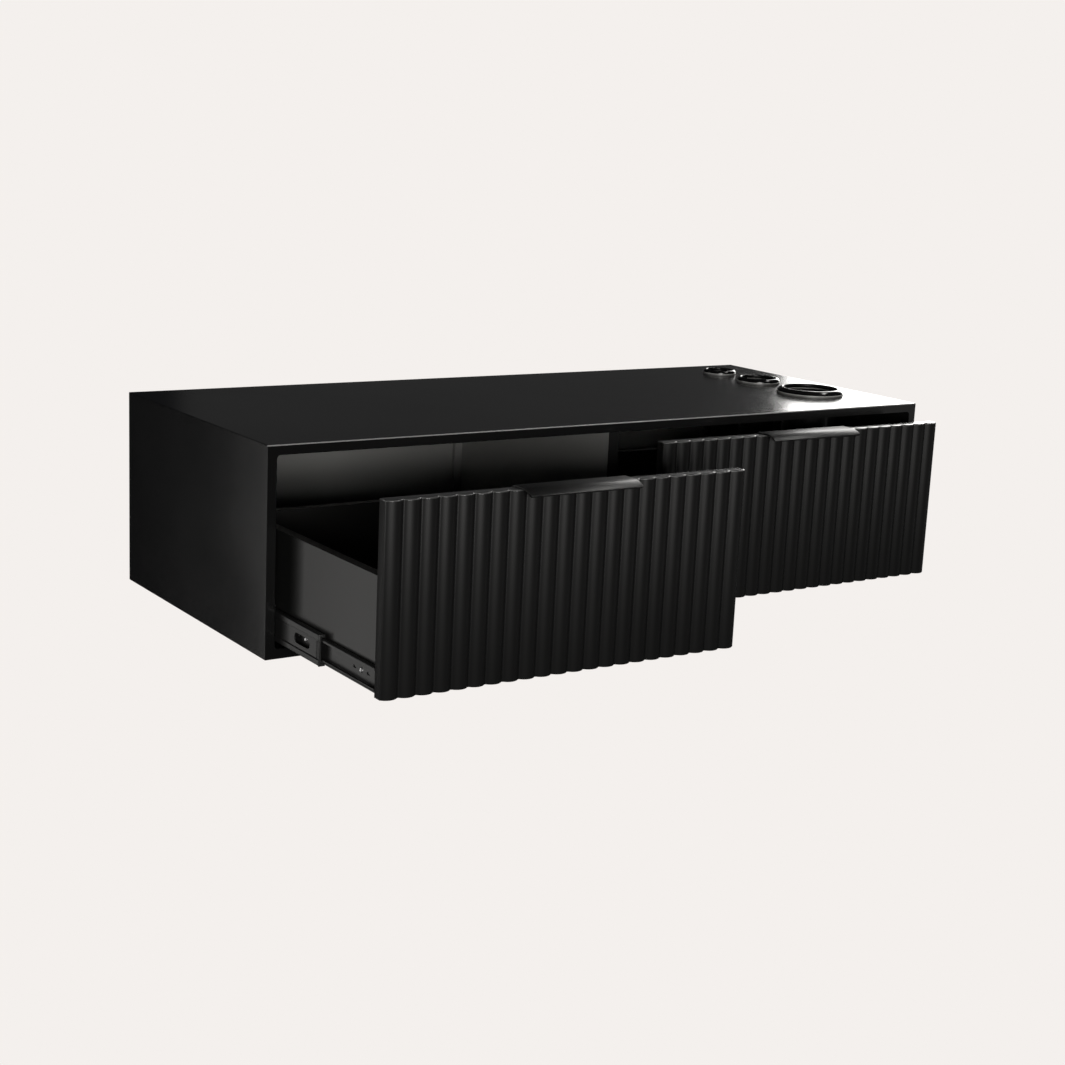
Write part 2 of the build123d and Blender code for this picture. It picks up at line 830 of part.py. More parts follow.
def cup(name):
    """A spun metal cup: flange on the top panel, straight wall, rounded foot and a drain hole."""
    radius = wells[name][0]
    outer = radius + cup_wall
    flange = ring_radius[name] - cup_flange_inset
    depth = top - cup_bottom
    round_out = cup_floor_radius
    round_in = cup_floor_radius - cup_wall
    corner = outer - round_out
    floor_level = -depth + round_out
    bend = sqrt(0.5)
    outline = [
        Polyline((drain_radius, -depth + cup_wall), (drain_radius, -depth), (corner, -depth)),
        ThreePointArc(
            (corner, -depth),
            (corner + round_out * bend, floor_level - round_out * bend),
            (outer, floor_level),
        ),
        Polyline((outer, floor_level), (outer, 0), (flange, 0), (flange, cup_wall), (radius, cup_wall)),
        Line((radius, cup_wall), (radius, floor_level)),
        ThreePointArc(
            (radius, floor_level),
            (corner + round_in * bend, floor_level - round_in * bend),
            (corner, -depth + cup_wall),
        ),
        Line((corner, -depth + cup_wall), (drain_radius, -depth + cup_wall)),
    ]
    body = revolve(Plane.XZ * make_face(outline), Axis.Z)
    return Pos(well_x, well_y[name], top) * body


def ring(name):
    """The rounded trim ring that snaps over a cup's flange and stands on the top panel."""
    radius, width, height = wells[name]
    outer = radius + width
    flange = outer - cup_flange_inset + ring_flange_clearance
    foot = outer - ring_foot_inset
    lip_radius = (height - ring_foot_height) / 2
    lip_height = height - lip_radius
    outer_centre = outer - lip_radius
    inner_centre = radius + lip_radius
    foot_top = lip_height - sqrt(lip_radius**2 - (foot - outer_centre) ** 2)
    quarter = sqrt(0.5) * lip_radius
    outline = [
        Polyline(
            (radius, lip_height),
            (radius, cup_wall),
            (flange, cup_wall),
            (flange, 0),
            (foot, 0),
            (foot, foot_top),
        ),
        ThreePointArc((foot, foot_top), (outer, lip_height), (outer_centre, height)),
        Line((outer_centre, height), (inner_centre, height)),
        ThreePointArc(
            (inner_centre, height),
            (inner_centre - quarter, lip_height + quarter),
            (radius, lip_height),
        ),
    ]
    body = revolve(Plane.XZ * make_face(outline), Axis.Z)
    return Pos(well_x, well_y[name], top) * body


def collar(name):
    """The notched nut that clamps a cup up against the underside of the top panel."""
    radius = wells[name][0] + cup_wall + collar_clearance
    outer = radius + collar_width
    nut = Cylinder(outer, collar_height) - Cylinder(radius, collar_height)
    for i in range(collar_notches):
        turn = Rot(0, 0, i * 360 / collar_notches)
        nut -= turn * Pos(outer, 0, -collar_height / 4) * Cylinder(collar_notch_radius, collar_height / 2)
    return Pos(well_x, well_y[name], inner_ceiling - collar_height / 2) * nut


# ---------------------------------------------------------------- assembly

os.makedirs("parts", exist_ok=True)

carcass = carcass_ring()
splines = mitre_splines()
back = back_panel()
dowels = divider_dowels()
pilot_holes = cabinet_slide_screw_holes()
panels = {side: carcass & mitre_wedge(side) for side in ("top", "bottom", "left", "right")}
for side, touching in (
    ("top", splines + dowels),
    ("bottom", splines + dowels),
    ("left", splines + pilot_holes),
    ("right", splines + pilot_holes),
):
    panels[side] -= back
    for cutter in touching:
        panels[side] -= cutter
for well in wells:
    hole = wells[well][0] + cup_wall + cup_hole_clearance
    panels["top"] -= through_hole((well_x, well_y[well], inner_ceiling), (0, 0, 1), hole, panel_thickness)
for name, shape in panels.items():
    save(f"{name}_panel" if name in ("top", "bottom") else f"{name}_side_panel", shape)

divider = block((-divider_side, divider_front, inner_floor), (divider_side, back_panel_face, inner_ceiling))
for cutter in dowels + pilot_holes:
    divider -= cutter
save("centre_divider", divider)
save("mitre_splines", *splines)
save("divider_dowels", *dowels)
save("divider_battens", *divider_battens())
save("cabinet_slide_screws", *cabinet_slide_screws())

rail_fixings = rail_screws()
for x in rail_screw_places():
    start = (x, back_panel_rear, rail_screw_height)
    back -= rod(start, (0, -1, 0), joint_screw_shank_radius, rail_screw_in_wood)
save("back_panel", back)
save("wall_rail", wall_rail())
save("cabinet_rail", cabinet_rail())
save("rail_screws", *rail_fixings)

for well in wells:
    save(f"{well}_well_cup", cup(well))
    save(f"{well}_well_ring", ring(well))
    save(f"{well}_well_collar", collar(well))

build_drawer("left", -1, left_opening)
build_drawer("right", 1, right_opening)
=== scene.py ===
from math import atan, atan2, pi, radians, sin

import bmesh
import bpy
from mathutils import Matrix, Vector


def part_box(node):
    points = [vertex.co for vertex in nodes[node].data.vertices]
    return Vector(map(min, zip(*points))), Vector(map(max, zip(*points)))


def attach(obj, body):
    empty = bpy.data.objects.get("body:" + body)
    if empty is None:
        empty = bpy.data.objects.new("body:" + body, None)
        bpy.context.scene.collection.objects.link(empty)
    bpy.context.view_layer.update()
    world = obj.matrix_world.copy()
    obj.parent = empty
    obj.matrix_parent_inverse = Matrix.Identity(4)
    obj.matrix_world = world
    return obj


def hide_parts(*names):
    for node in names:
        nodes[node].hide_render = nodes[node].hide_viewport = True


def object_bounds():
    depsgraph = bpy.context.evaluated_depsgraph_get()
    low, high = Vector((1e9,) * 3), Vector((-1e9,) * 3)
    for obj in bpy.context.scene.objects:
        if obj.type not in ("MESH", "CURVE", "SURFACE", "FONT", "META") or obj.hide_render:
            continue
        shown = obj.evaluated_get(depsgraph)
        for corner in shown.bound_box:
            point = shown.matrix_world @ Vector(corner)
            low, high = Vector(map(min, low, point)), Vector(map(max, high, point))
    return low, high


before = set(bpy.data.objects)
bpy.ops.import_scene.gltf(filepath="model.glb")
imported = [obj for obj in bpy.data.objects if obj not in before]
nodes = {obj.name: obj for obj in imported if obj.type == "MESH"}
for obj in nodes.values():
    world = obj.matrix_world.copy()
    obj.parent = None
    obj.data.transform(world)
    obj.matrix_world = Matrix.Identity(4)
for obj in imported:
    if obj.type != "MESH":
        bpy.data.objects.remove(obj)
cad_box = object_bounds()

scene = bpy.context.scene
mm = 0.001

# ---------------------------------------------------------------- studio
# The camera stands in front of the cabinet's left end, a little above its top, tipped slightly
# about its line of sight. Soft boxes stand behind both ends, a strip hangs over the right end, a
# low key light shines into the bays, and weak cards stand off the sides.

camera_place = (-1.38681, -2.23056, 0.44417)
camera_heading = -34.317
camera_dip = 77.345
camera_tip = 2.646

scene.view_settings.view_transform = "Standard"
camera_data = bpy.data.cameras.new("studio_camera")
camera_data.lens = 62.37
camera_data.sensor_width = 36.0
camera = bpy.data.objects.new("studio_camera", camera_data)
stand = Matrix.Translation(camera_place)
heading = Matrix.Rotation(radians(camera_heading), 4, "Z")
dip = Matrix.Rotation(radians(camera_dip), 4, "X")
tip = Matrix.Rotation(radians(camera_tip), 4, "Z")
camera.matrix_world = stand @ heading @ dip @ tip
scene.collection.objects.link(camera)
scene.camera = camera

# Each light: its place, what it faces, its width, its height and its power.

soft_boxes = {
    "right_back_box": ((3.90, 2.0, 0.75), (3.05, -1.0, 0.2), 2.4, 2.6, 104),
    "left_back_box": ((-2.15, 1.0, -0.42), (-1.19, -0.6, -0.1), 1.6, 1.7, 9.2),
    "back_haze": ((3.1, 4.0, 0.9), (0.4, 0.0, 0.0), 3.4, 1.6, 0.65),
    "overhead_strip": ((1.2, -0.70, 1.75), (0.2, -0.4, 0.1), 1.6, 0.25, 8),
    "left_low_card": ((-2.4, -1.6, -0.7), (-0.5, -0.2, -0.05), 2.0, 1.0, 0.8),
    "right_low_card": ((2.4, -1.4, -0.5), (0.5, -0.2, -0.05), 1.8, 1.2, 2.0),
    "right_back_card": ((2.6, 1.5, -0.5), (0.5, -0.2, -0.05), 1.8, 1.2, 1.6),
    "front_key": ((-1.4, -3.6, 0.28), (-0.2, -0.4, 0.0), 2.3, 0.7, 76),
}
for name, (place, aim, width, height, power) in soft_boxes.items():
    light = bpy.data.lights.new(name, "AREA")
    light.shape = "RECTANGLE"
    light.size = width
    light.size_y = height
    light.energy = power
    light.color = (1.0, 0.985, 0.96)
    lamp = bpy.data.objects.new(name, light)
    facing = (Vector(aim) - Vector(place)).to_track_quat("-Z", "Y").to_matrix().to_4x4()
    lamp.matrix_world = Matrix.Translation(place) @ facing
    lamp.visible_camera = False
    scene.collection.objects.link(lamp)

world = bpy.data.worlds.new("studio_air")
world.use_nodes = True
air = world.node_tree.nodes["Background"].inputs
air["Color"].default_value = (0.9, 0.93, 1.0, 1)
air["Strength"].default_value = 0.012
scene.world = world


class Socket:
    """An output in a finish's node tree: arithmetic adds Math nodes, node() adds other kinds."""

    def __init__(self, tree, output=None):
        self.tree = tree
        self.output = output

    def node(self, kind, settings, inputs, result=0):
        """Adds a node, sets it up, then gives its sockets their values or links."""
        made = self.tree.nodes.new(kind)
        for name, value in settings.items():
            setattr(made, name, value)
        for name, value in inputs.items():
            if isinstance(value, Socket):
                self.tree.links.new(value.output, made.inputs[name])
            else:
                made.inputs[name].default_value = value
        return Socket(self.tree, made.outputs[result])

    def maths(self, operation, first, second):
        return self.node("ShaderNodeMath", {"operation": operation}, {0: first, 1: second})

    def __add__(self, other):
        return self.maths("ADD", self, other)

    __radd__ = __add__

    def __sub__(self, other):
        return self.maths("SUBTRACT", self, other)

    def __rsub__(self, other):
        return self.maths("SUBTRACT", other, self)

    def __mul__(self, other):
        return self.maths("MULTIPLY", self, other)

    __rmul__ = __mul__

    def above(self, edge, softness):
        """Goes from 0 to 1 as this value passes an edge."""
        fade = {"Value": self, "From Min": edge - softness, "From Max": edge + softness}
        return self.node("ShaderNodeMapRange", {"interpolation_type": "SMOOTHSTEP"}, fade)

    def feed(self, shader, name):
        """Drives one of the shader's sockets with this value."""
        self.tree.links.new(self.output, shader.inputs[name])


def blank_finish(name, **constants):
    """A material with its shader's own sockets set, its shader and its object coordinates."""
    material = bpy.data.materials.new(name)
    material.use_nodes = True
    shader = material.node_tree.nodes["Principled BSDF"]
    for socket, value in constants.items():
        shader.inputs[socket.replace("_", " ")].default_value = value
    place = Socket(material.node_tree).node("ShaderNodeTexCoord", {}, {}, "Object")
    return material, shader, place


def points(geometry):
    """The vertices in what an operator returned."""
    return [item for item in geometry if isinstance(item, bmesh.types.BMVert)]


# The floor is a wide pale disc whose rim sweeps up all round, so that there is no horizon. It shows
# to the camera alone, as evenly lit paper would, and the soft boxes do all the lighting.

paper_white = (0.905, 0.871, 0.847, 1)
floor_height = cad_box[0].z - 0.6
sweep_start = 7.0
sweep_radius = 3.0
sweep_steps = 12
floor_sides = 72
backdrop_height = 12.0
up = (0, 0, 1)
mesh = bmesh.new()
floor_ends = [mesh.verts.new((0, 0, floor_height)), mesh.verts.new((sweep_start, 0, floor_height))]
mesh.edges.new(floor_ends)
bmesh.ops.spin(
    mesh,
    geom=floor_ends[1:],
    cent=(sweep_start, 0, floor_height + sweep_radius),
    axis=(0, -1, 0),
    angle=pi / 2,
    steps=sweep_steps,
)
profile = mesh.verts[:] + mesh.edges[:]
bmesh.ops.spin(
    mesh, geom=profile, cent=(0, 0, 0), axis=up, angle=2 * pi, steps=floor_sides, use_merge=True
)
bmesh.ops.remove_doubles(mesh, verts=mesh.verts, dist=0.1 * mm)
rim = [edge for edge in mesh.edges if edge.is_boundary]
wall = bmesh.ops.extrude_edge_only(mesh, edges=rim)["geom"]
bmesh.ops.translate(mesh, vec=(0, 0, backdrop_height), verts=points(wall))
sheet = bpy.data.meshes.new("pale_floor")
mesh.to_mesh(sheet)
mesh.free()
floor = bpy.data.objects.new("pale_floor", sheet)
scene.collection.objects.link(floor)
floor.visible_diffuse = False
floor.visible_glossy = False
floor.visible_shadow = False
material, _, place = blank_finish("pale_paper")
glow = place.node("ShaderNodeEmission", {}, {"Color": paper_white, "Strength": 1.0})
glow.tree.links.new(glow.output, glow.tree.nodes["Material Output"].inputs["Surface"])
floor.data.materials.append(material)

# ---------------------------------------------------------------- carcass
# Four boards mitred into a band round the bays, with eased front edges, sprayed with satin black
# lacquer. The spray leaves a fine orange peel and a faint grit. The top's front edge is painted a
# lighter shade under a clear coat: a painted highlight.


def grain(place, scale, detail=2.0, stretch=(1, 1, 1)):
    """A noise of so many spots to the metre, drawn out by stretching it."""
    if stretch != (1, 1, 1):
        place = place.node("ShaderNodeMapping", {}, {"Vector": place, "Scale": stretch})
    spots = {"Vector": place, "Scale": scale, "Detail": detail}
    return place.node("ShaderNodeTexNoise", {}, spots)


def tint(share, low, high):
    """A colour between two, by share."""
    inputs = {0: share, 6: (*low, 1), 7: (*high, 1)}
    return share.node("ShaderNodeMix", {"data_type": "RGBA"}, inputs, 2)


def relief(height, strength, depth):
    """A bump from a height."""
    inputs = {"Height": height, "Strength": strength, "Distance": depth}
    return height.node("ShaderNodeBump", {}, inputs)


def split(place):
    """The three coordinates one by one."""
    tree = place.node("ShaderNodeSeparateXYZ", {}, {0: place}).tree
    outputs = tree.nodes[-1].outputs
    return [Socket(tree, output) for output in outputs]


def sprayed(name, dark, light, roughness, sheen, highlight_shade, highlight_above, highlight_before):
    """Satin lacquer sprayed on board, with a painted highlight above a height and before a plane.
    """
    material, shader, place = blank_finish(name, Specular_IOR_Level=sheen)
    cloud = grain(place, 7.0, 3.0)
    peel = grain(place, 380.0)
    grit = grain(place, 2200.0, 1.0)
    _, y, z = split(place)
    fade = 0.4 * mm
    # The painted highlight: the colour is lightened above a height and before a plane, standing in
    # for light caught by the edge, and a clear coat goes over it.
    painted_highlight = z.above(highlight_above, fade) * (1 - y.above(highlight_before, fade)) * (0.4 + 0.6 * grit)
    shade = 0.7 * cloud + 0.3 * grit
    share = (light - dark) / (highlight_shade - dark) * shade + painted_highlight
    tint(share, (dark,) * 3, (highlight_shade,) * 3).feed(shader, "Base Color")
    (roughness + 0.09 * (cloud - 0.5) + 0.1 * (grit - 0.5)).feed(shader, "Roughness")
    painted_highlight.feed(shader, "Coat Weight")
    relief(0.6 * peel + 0.4 * grit, 0.2, 0.15 * mm).feed(shader, "Normal")
    return material


def wear(material, *names):
    """Gives CAD nodes one finish all over."""
    for name in names:
        data = nodes[name].data
        if not data.materials:
            data.materials.append(material)
        for i in range(len(data.materials)):
            data.materials[i] = material


front_of_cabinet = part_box("top_panel")[0].y
top_of_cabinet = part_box("top_panel")[1].z
highlight_band = 1.2 * mm
# The top's front edge is painted a lighter shade: a painted highlight.
carcass_lacquer = sprayed(
    "carcass_satin",
    dark=0.005,
    light=0.009,
    roughness=0.17,
    sheen=0.5,
    highlight_shade=0.5,
    highlight_above=top_of_cabinet - highlight_band,
    highlight_before=front_of_cabinet + highlight_band,
)
wear(carcass_lacquer, "top_panel", "bottom_panel", "left_side_panel", "right_side_panel")

# ---------------------------------------------------------------- back, divider and battens
# Thin board faced with matt foil, pressed with a fine pore, painted light grey to stand in for
# the light that falls into the bays; the divider's front edge is black.
# The back slides into grooves, and two battens glued to it hold the divider's rear edge.


def foiled(name, shade, roughness, edged_before):
    """Matt foil with a short, fine pore, but for a black edging in front of a plane."""
    material, shader, place = blank_finish(name)
    cloud = grain(place, 5.0, 3.0)
    pore = grain(place, 900.0, 2.0, (0.35, 0.35, 1))
    _, y, _ = split(place)
    share = y.above(edged_before, 0.1 * mm) * (0.8 + 0.1 * cloud + 0.1 * pore)
    tint(share, (0.006,) * 3, shade).feed(shader, "Base Color")
    (roughness + 0.06 * (cloud - 0.5)).feed(shader, "Roughness")
    relief(pore, 0.1, 0.03 * mm).feed(shader, "Normal")
    return material


edging = 0.6 * mm
# The bays' boards are painted light grey in place of the light that falls into the bays: painted
# light.
bay_foil_painted_light = foiled("bay_foil_painted_light", (0.34, 0.34, 0.33), 0.5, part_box("centre_divider")[0].y + edging)
wear(bay_foil_painted_light, "back_panel", "centre_divider", "divider_battens")

# ---------------------------------------------------------------- dowels and splines
# Beech dowels through the divider's ends and tongues across the mitres, glued in and out of sight.

material, shader, place = blank_finish("beech", Roughness=0.6)
rays = grain(place, 160.0, 3.0, (1, 0.08, 1))
fleck = grain(place, 900.0, 1.0, (1, 0.3, 1))
streak = rays * 0.75 + fleck * 0.25
tint(streak, (0.42, 0.25, 0.13), (0.66, 0.46, 0.28)).feed(shader, "Base Color")
relief(fleck, 0.3, 0.1 * mm).feed(shader, "Normal")
wear(material, "divider_dowels", "mitre_splines")

# ---------------------------------------------------------------- hanging rails
# Two aluminium Z sections that hook together behind the back panel, left as they came from the
# extruder, with its fine draw lines. Zinc-plated screws hold the upper one to the cabinet.

material, shader, place = blank_finish("extruded_aluminium", Metallic=1.0)
draw_lines = grain(place, 900.0, 2.0, (0.004, 1, 1))
smudge = grain(place, 30.0, 3.0)
shade = smudge * 0.6 + draw_lines * 0.4
tint(shade, (0.62, 0.62, 0.63), (0.82, 0.82, 0.83)).feed(shader, "Base Color")
(0.34 + 0.16 * (smudge - 0.5)).feed(shader, "Roughness")
relief(draw_lines, 0.35, 0.05 * mm).feed(shader, "Normal")
wear(material, "wall_rail", "cabinet_rail")

zinc, shader, place = blank_finish("bright_zinc", Metallic=1.0)
turning = grain(place, 2600.0, 1.0, (0.4, 1, 1))
tint(turning, (0.82, 0.82, 0.83), (0.96, 0.96, 0.96)).feed(shader, "Base Color")
(0.34 + 0.16 * turning).feed(shader, "Roughness")
relief(turning, 0.2, 0.03 * mm).feed(shader, "Normal")
wear(zinc, "rail_screws", "cabinet_slide_screws")

# ---------------------------------------------------------------- drawer slides
# Each drawer runs on a pair of three-part slides pressed from black-coated steel strip: one member
# on the bay's side, one on the drawer's and one between them, with bright balls in the tracks.


def wire(mesh, start, *steps):
    """Draws a line: a step is a point to run to, or a centre, axis, angle and count to swing by."""
    tip = mesh.verts.new(start)
    for step in steps:
        if len(step) == 3:
            corner = mesh.verts.new(step)
            mesh.edges.new((tip, corner))
            tip = corner
        else:
            centre, axis, angle, count = step
            swung = bmesh.ops.spin(
                mesh, geom=[tip], cent=centre, axis=axis, angle=angle, steps=count
            )
            tip = points(swung["geom_last"])[0]


def join_ends(mesh):
    """Joins the ends of lines that meet."""
    bmesh.ops.remove_doubles(mesh, verts=mesh.verts, dist=0.001 * mm)


def sharp_edges(mesh, angle):
    """Edges that turn by more than an angle."""
    limit = radians(angle)
    return [edge for edge in mesh.edges if edge.is_manifold and edge.calc_face_angle(0) > limit]


def ease(mesh, edges, radius, segments):
    """Rounds edges over."""
    bmesh.ops.bevel(
        mesh,
        geom=edges,
        offset=radius,
        offset_type="OFFSET",
        segments=segments,
        profile=0.5,
        affect="EDGES",
        clamp_overlap=False,
        material=-1,
    )


def finish_piece(name, mesh, material, body, slot, *stands_for):
    """Makes a piece of a mesh, smooth but for crisp edges, ties it to its body and hides the nodes
    it stands for.
    """
    for face in mesh.faces:
        face.smooth = True
    for edge in sharp_edges(mesh, 38):
        edge.smooth = False
    data = bpy.data.meshes.new(name)
    mesh.to_mesh(data)
    mesh.free()
    data.materials.append(material)
    piece = bpy.data.objects.new(name, data)
    scene.collection.objects.link(piece)
    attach(piece, body)
    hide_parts(*stands_for)


slide_coat, shader, place = blank_finish("slide_coat", Metallic=0.0, Specular_IOR_Level=0.6)
draw_lines = grain(place, 700.0, 2.0, (1, 0.02, 1))
fleck = grain(place, 1500.0, 1.0)
shade = draw_lines * 0.6 + fleck * 0.4
tint(shade, (0.013,) * 3, (0.024,) * 3).feed(shader, "Base Color")
(0.38 + 0.16 * (draw_lines - 0.5)).feed(shader, "Roughness")
relief(draw_lines, 0.25, 0.05 * mm).feed(shader, "Normal")

sheet_gauge = 1.2 * mm
bend_radius = 2.4 * mm
fixing_radius = 2.0 * mm
fixing_slot = (7.0 * mm, 3.4 * mm)
fixing_slot_offset = 15.0 * mm
fixing_places = (37.0 * mm, 165.0 * mm, 300.0 * mm)
long_slot = (38.0 * mm, 12.0 * mm)
long_slot_from_end = 42.0 * mm
notch_radius = 1.5 * mm
notch_inset = 2.0 * mm
tongue_root = 4.0 * mm
tongue_tip = 2.2 * mm
tongue_reach = 1.3 * mm
hair = 0.01 * mm
across_web = (1, 0, 0)

# Each member: half its web's height, then how its flange is bent, in steps of across and up.

sections = {
    "cabinet": (22.5 * mm, ((10.2 * mm, 0), (0, -2.8 * mm))),
    "middle": (10.3 * mm, ((-1.4 * mm, 1.2 * mm), (0, 6.5 * mm), (7.7 * mm, 0), (0, -2.0 * mm))),
    "drawer": (13.5 * mm, ((6.5 * mm, 0), (0, -3.4 * mm))),
}


def slot_outline(mesh, y, length, width):
    """A round-ended slot in a web that lies in the YZ plane."""
    half = width / 2
    run = length / 2 - half
    wire(
        mesh,
        (0, y - run, -half),
        (0, y + run, -half),
        ((0, y + run, 0), across_web, pi, 6),
        (0, y - run, half),
        ((0, y - run, 0), across_web, pi, 6),
    )


def notched_edge(web_half):
    """The steps of a front edge with two round notches and a tongue between them."""
    notch = web_half - notch_inset
    return (
        (0, 0, notch),
        ((0, 0, notch - notch_radius), across_web, -pi, 6),
        (0, 0, tongue_root),
        (0, -tongue_reach, tongue_tip),
        (0, -tongue_reach, -tongue_tip),
        (0, 0, -tongue_root),
        (0, 0, 2 * notch_radius - notch),
        ((0, 0, notch_radius - notch), across_web, -pi, 6),
    )


def pressed_member(node, body, turn, kind, slots, holes):
    """A member bent from flat strip: its pierced web, then each flange bent up step by step."""
    web_half, steps = sections[kind]
    low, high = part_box(node)
    length = high.y - low.y
    mesh = bmesh.new()
    wire(mesh, (0, length, -web_half), (0, length, web_half))
    front_edge = notched_edge(web_half) if kind == "middle" else ()
    wire(mesh, (0, 0, web_half), *front_edge, (0, 0, -web_half))
    for side in (-1, 1):
        wire(mesh, (0, 0, side * web_half), (0, length, side * web_half))
    for y, size in slots:
        slot_outline(mesh, y, *size)
    for y in holes:
        ring = bmesh.ops.create_circle(mesh, segments=16, radius=fixing_radius)["verts"]
        to_web = Matrix.Translation((0, y, 0)) @ Matrix.Rotation(pi / 2, 4, "Y")
        bmesh.ops.transform(mesh, matrix=to_web, verts=ring)
    join_ends(mesh)
    bmesh.ops.triangle_fill(mesh, edges=mesh.edges[:], use_beauty=True)
    for side in (-1, 1):
        level = side * web_half
        flange = [
            edge
            for edge in mesh.edges
            if all(abs(vert.co.z - level) < hair for vert in edge.verts)
            and edge.calc_length() > length / 2
        ]
        for across, rise in steps:
            grown = bmesh.ops.extrude_edge_only(mesh, edges=flange)["geom"]
            bends = [item for item in grown if isinstance(item, bmesh.types.BMEdge)]
            flange = [edge for edge in bends if all(vert in grown for vert in edge.verts)]
            bmesh.ops.translate(mesh, vec=(across, 0, side * rise), verts=points(grown))
    bmesh.ops.recalc_face_normals(mesh, faces=mesh.faces)
    web = max(mesh.faces, key=lambda face: face.calc_area() * (abs(face.normal.x) > 0.9))
    if web.normal.x > 0:
        bmesh.ops.reverse_faces(mesh, faces=mesh.faces)
    bends = [edge for edge in sharp_edges(mesh, 80) if edge.calc_length() > length / 2]
    lip = abs(steps[-1][1])
    ease(mesh, bends, min(bend_radius, 0.9 * lip), 4)
    bmesh.ops.solidify(mesh, geom=mesh.faces[:], thickness=sheet_gauge)
    reach = min(vert.co.x for vert in mesh.verts)
    wall = low.x - reach if turn > 0 else high.x + reach
    stand = Matrix.Translation((wall, low.y, (low.z + high.z) / 2))
    place = stand @ Matrix.Diagonal((turn, 1, 1, 1))
    bmesh.ops.transform(mesh, matrix=place, verts=mesh.verts)
    bmesh.ops.recalc_face_normals(mesh, faces=mesh.faces)
    finish_piece(f"{node}_pressing", mesh, slide_coat, body, "slide_black_steel", node)


fixing_slots = [
    (y + way * fixing_slot_offset, fixing_slot) for y in fixing_places for way in (-1, 1)
]
for bay in ("left", "right"):
    for side, turn in (("left", 1), ("right", -1)):
        start = f"{bay}_bay_{side}"
        node = f"{start}_cabinet_member"
        pressed_member(node, "root", turn, "cabinet", fixing_slots, fixing_places)
        node = f"{start}_middle_member"
        low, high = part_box(node)
        ends = (long_slot_from_end, high.y - low.y - long_slot_from_end)
        slots = [(y, long_slot) for y in ends]
        pressed_member(node, f"{bay}_middle_members", turn, "middle", slots, ())
        node = f"{start}_drawer_member"
        pressed_member(node, f"{bay}_drawer", -turn, "drawer", fixing_slots, fixing_places)

ball_steel, shader, place = blank_finish("ball_steel", Metallic=1.0)
film = grain(place, 400.0, 2.0)
tint(film, (0.45, 0.44, 0.42), (0.70, 0.70, 0.70)).feed(shader, "Base Color")
(0.12 + 0.25 * film).feed(shader, "Roughness")
for bay in ("left", "right"):
    wear(ball_steel, f"{bay}_outer_ball_strips", f"{bay}_inner_ball_strips")

moulded_black, shader, place = blank_finish("moulded_black", Specular_IOR_Level=0.4)
spark = grain(place, 1400.0, 2.0)
tint(spark, (0.010,) * 3, (0.020,) * 3).feed(shader, "Base Color")
(0.45 + 0.2 * (spark - 0.5)).feed(shader, "Roughness")
relief(spark, 0.4, 0.08 * mm).feed(shader, "Normal")

# A stop moulded in black plastic caps each middle member's front end. Its cap is open where the
# drawer member passes, and a plate with a scalloped edge fills the hollow of the member's web.

stop_cheek = 14.2 * mm
stop_web = 2.8 * mm
stop_arris = 0.25 * mm
plate_inset = 0.1 * mm
plate_depth = 1.3 * mm
plate_half = 10.0 * mm
plate_end = 3.6 * mm
scallops = 5


def pushed(push, *outline):
    """A closed shell: an outline, filled and pushed along."""
    shell = bmesh.new()
    wire(shell, *outline)
    join_ends(shell)
    face = bmesh.ops.contextual_create(shell, geom=shell.edges[:])["faces"]
    grown = bmesh.ops.extrude_face_region(shell, geom=face)["geom"]
    bmesh.ops.translate(shell, vec=push, verts=points(grown))
    bmesh.ops.recalc_face_normals(shell, faces=shell.faces)
    return shell


for bay in ("left", "right"):
    low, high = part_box(f"{bay}_slide_bumpers")
    mesh = bmesh.new()
    for side, turn in (("left", 1), ("right", -1)):
        member_low, member_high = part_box(f"{bay}_bay_{side}_middle_member")
        lip = member_low.y - low.y
        half = (member_high.z - member_low.z) / 2
        across = member_high.x - member_low.x
        cap = pushed(
            (0, lip - hair, 0),
            (0, -lip, -half),
            (across, -lip, -half),
            (across, -lip, -stop_cheek),
            (stop_web, -lip, -stop_cheek),
            (stop_web, -lip, stop_cheek),
            (across, -lip, stop_cheek),
            (across, -lip, half),
            (0, -lip, half),
            (0, -lip, -half),
        )
        scallop = plate_half / scallops
        levels = [plate_half - (2 * i + 1) * scallop for i in range(scallops)]
        plate = pushed(
            (plate_depth, 0, 0),
            (plate_inset, -lip / 2, -plate_half),
            (plate_inset, -lip / 2, plate_half),
            (plate_inset, plate_end, plate_half),
            *[((plate_inset, plate_end, level), across_web, -pi, 6) for level in levels],
            (plate_inset, -lip / 2, -plate_half),
        )
        wall = member_low.x if turn > 0 else member_high.x
        stand = Matrix.Translation((wall, member_low.y, (member_low.z + member_high.z) / 2))
        place = stand @ Matrix.Diagonal((turn, 1, 1, 1))
        for shell in (cap, plate):
            ease(shell, sharp_edges(shell, 60), stop_arris, 2)
            bmesh.ops.transform(shell, matrix=place, verts=shell.verts)
            data = bpy.data.meshes.new("stop_shell")
            shell.to_mesh(data)
            shell.free()
            mesh.from_mesh(data)
            bpy.data.meshes.remove(data)
    bmesh.ops.recalc_face_normals(mesh, faces=mesh.faces)
    node = f"{bay}_slide_bumpers"
    body = f"{bay}_middle_members"
    finish_piece(f"{bay}_moulded_stops", mesh, moulded_black, body, "moulded_black", node)
    wear(zinc, f"{bay}_drawer_slide_screws")

# ---------------------------------------------------------------- drawer boxes
# Boards faced with satin black foil, rabbeted at the corners, with a bottom let into grooves. Zinc
# screws hold the box to its front from the inside.

box_foil = foiled("box_foil", (0.014, 0.014, 0.0135), 0.33, cad_box[0].y)
for bay in ("left", "right"):
    for part in ("left_side", "right_side", "sub_front", "back", "bottom"):
        wear(box_foil, f"{bay}_drawer_{part}")
    wear(zinc, f"{bay}_front_screws", f"{bay}_pull_screws")
